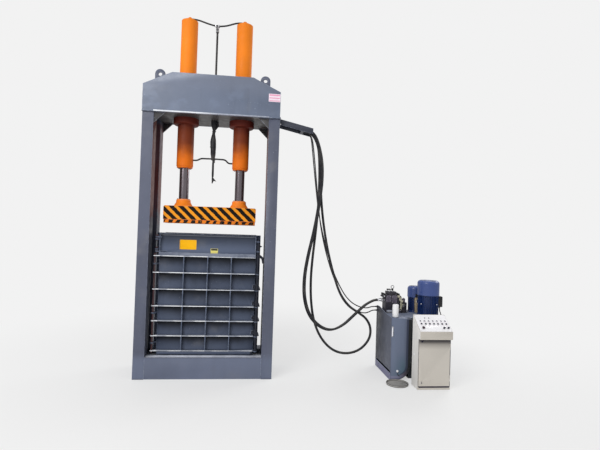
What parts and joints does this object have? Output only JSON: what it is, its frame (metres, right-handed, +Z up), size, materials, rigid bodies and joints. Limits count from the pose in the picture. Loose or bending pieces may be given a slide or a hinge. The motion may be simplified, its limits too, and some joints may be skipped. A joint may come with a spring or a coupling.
{
  "type": "recycling baler",
  "caption": "Upright portal press with two hydraulic rams over a ribbed, two-door bale chamber, joined by hoses to a power pack with motors, oil tank and control desk.",
  "frame": {"origin": "on the floor under the middle of the press frame; both rams stand at Y = 0", "axes": "+X right, towards the power pack, +Y back, away from the doors, +Z up along the ram travel"},
  "size_m": [4.2117, 1.1985, 4.9181],
  "materials": {
    "frame_paint": "satin",
    "ram_paint": "satin",
    "sole_paint": "satin",
    "rod_steel": "satin",
    "chamber_paint": "satin",
    "bright_steel": "satin",
    "pipe_black": "satin",
    "lock_steel": "satin",
    "black_plastic": "satin",
    "tank_paint": "satin",
    "tray_steel": "satin",
    "motor_paint": "satin",
    "cowl_paint": "satin",
    "valve_iron": "satin",
    "white_can": "satin",
    "desk_paint": "satin",
    "panel_white": "satin",
    "button_dark": "satin",
    "stop_red": "satin",
    "hose_rubber": "satin"
  },
  "bodies": {
    "press": {"left_column": "frame_paint", "right_column": "frame_paint", "base_frame": "frame_paint", "head_front_plate": "frame_paint", "head_rear_plate": "frame_paint", "head_floor": "frame_paint", "head_cover": "frame_paint", "lifting_lugs": "frame_paint", "hose_arm": "frame_paint", "left_cylinder": "ram_paint", "right_cylinder": "ram_paint", "cylinder_glands": "ram_paint", "chamber_floor": "chamber_paint", "chamber_left_wall": "chamber_paint", "chamber_right_wall": "chamber_paint", "chamber_rear_wall": "chamber_paint", "hinge_pins": "bright_steel", "top_pipe": "pipe_black", "lower_pipe": "pipe_black", "limit_sensor": "black_plastic", "tank": "tank_paint", "tank_lid": "tank_paint", "tank_fittings": "tank_paint", "drip_tray": "tray_steel", "motor_1": "motor_paint", "motor_2": "motor_paint", "motor_1_cowl": "cowl_paint", "motor_2_cowl": "cowl_paint", "valve_block": "valve_iron", "return_filter": "white_can", "desk_cabinet": "desk_paint", "control_panel": "panel_white", "button_bezels": "button_dark", "indicator_lamps": "button_dark", "pressure_hose_a": "hose_rubber", "pressure_hose_b": "hose_rubber", "slack_hose": "hose_rubber", "motor_cable": "hose_rubber", "sensor_cable": "hose_rubber", "motor_lead": "hose_rubber"},
    "platen": {"platen": "ram_paint", "platen_sole": "sole_paint", "left_ram_rod": "rod_steel", "right_ram_rod": "rod_steel"},
    "main_door": {"main_door": "chamber_paint"},
    "lock_shaft": {"lock_shaft": "lock_steel"},
    "feed_door": {"feed_door": "chamber_paint"},
    "feed_latch": {"feed_latch": "lock_steel"},
    "valve_lever": {"valve_lever": "black_plastic"},
    "desk_door": {"desk_door": "desk_paint"},
    "push_button_1": {"push_button_1": "button_dark"},
    "push_button_2": {"push_button_2": "button_dark"},
    "push_button_3": {"push_button_3": "button_dark"},
    "push_button_4": {"push_button_4": "button_dark"},
    "push_button_5": {"push_button_5": "button_dark"},
    "push_button_6": {"push_button_6": "button_dark"},
    "push_button_7": {"push_button_7": "button_dark"},
    "stop_button": {"stop_button": "stop_red"},
    "selector_1": {"selector_1": "button_dark"},
    "selector_2": {"selector_2": "button_dark"}
  },
  "joints": [
    {"name": "platen_travel", "type": "slide", "parent": "press", "child": "platen", "axis": [0, 0, 1], "range_m": [-1.4, 0.33]},
    {"name": "main_door_swing", "type": "hinge", "parent": "press", "child": "main_door", "pos_m": [-0.692, -0.218, 0.96], "axis": [0, 0, -1], "range_deg": [0, 95]},
    {"name": "lock_turn", "type": "hinge", "parent": "press", "child": "lock_shaft", "pos_m": [0.67, -0.248, 0.96], "axis": [0, 0, -1], "range_deg": [0, 180]},
    {"name": "feed_door_swing", "type": "hinge", "parent": "press", "child": "feed_door", "pos_m": [-0.672, -0.218, 1.75], "axis": [0, 0, -1], "range_deg": [0, 95]},
    {"name": "feed_latch_turn", "type": "hinge", "parent": "press", "child": "feed_latch", "pos_m": [0.67, -0.248, 1.75], "axis": [0, 0, -1], "range_deg": [0, 180]},
    {"name": "hand_valve_turn", "type": "hinge", "parent": "press", "child": "valve_lever", "pos_m": [2.655, 0.05, 1.174], "axis": [0, 0, 1], "range_deg": [0, 90]},
    {"name": "desk_door_swing", "type": "hinge", "parent": "press", "child": "desk_door", "pos_m": [3.168, -0.7815, 0.35], "axis": [0, 0, 1], "range_deg": [0, 110]},
    {"name": "push_button_1_press", "type": "slide", "parent": "press", "child": "push_button_1", "axis": [0, 0.5373, -0.8434], "range_m": [0, 0.005], "stiffness_N_per_m": 400, "springref_m": -0.003},
    {"name": "push_button_2_press", "type": "slide", "parent": "press", "child": "push_button_2", "axis": [0, 0.5373, -0.8434], "range_m": [0, 0.005], "stiffness_N_per_m": 400, "springref_m": -0.003},
    {"name": "push_button_3_press", "type": "slide", "parent": "press", "child": "push_button_3", "axis": [0, 0.5373, -0.8434], "range_m": [0, 0.005], "stiffness_N_per_m": 400, "springref_m": -0.003},
    {"name": "push_button_4_press", "type": "slide", "parent": "press", "child": "push_button_4", "axis": [0, 0.5373, -0.8434], "range_m": [0, 0.005], "stiffness_N_per_m": 400, "springref_m": -0.003},
    {"name": "push_button_5_press", "type": "slide", "parent": "press", "child": "push_button_5", "axis": [0, 0.5373, -0.8434], "range_m": [0, 0.005], "stiffness_N_per_m": 400, "springref_m": -0.003},
    {"name": "push_button_6_press", "type": "slide", "parent": "press", "child": "push_button_6", "axis": [0, 0.5373, -0.8434], "range_m": [0, 0.005], "stiffness_N_per_m": 400, "springref_m": -0.003},
    {"name": "push_button_7_press", "type": "slide", "parent": "press", "child": "push_button_7", "axis": [0, 0.5373, -0.8434], "range_m": [0, 0.005], "stiffness_N_per_m": 400, "springref_m": -0.003},
    {"name": "stop_button_press", "type": "slide", "parent": "press", "child": "stop_button", "axis": [0, 0.5373, -0.8434], "range_m": [0, 0.0035], "stiffness_N_per_m": 900, "springref_m": -0.003},
    {"name": "selector_1_turn", "type": "hinge", "parent": "press", "child": "selector_1", "pos_m": [3.0804, -0.78471, 0.7886], "axis": [0, -0.5373, 0.8434], "range_deg": [-45, 45]},
    {"name": "selector_2_turn", "type": "hinge", "parent": "press", "child": "selector_2", "pos_m": [3.13608, -0.78471, 0.7886], "axis": [0, -0.5373, 0.8434], "range_deg": [-45, 45]}
  ]
}
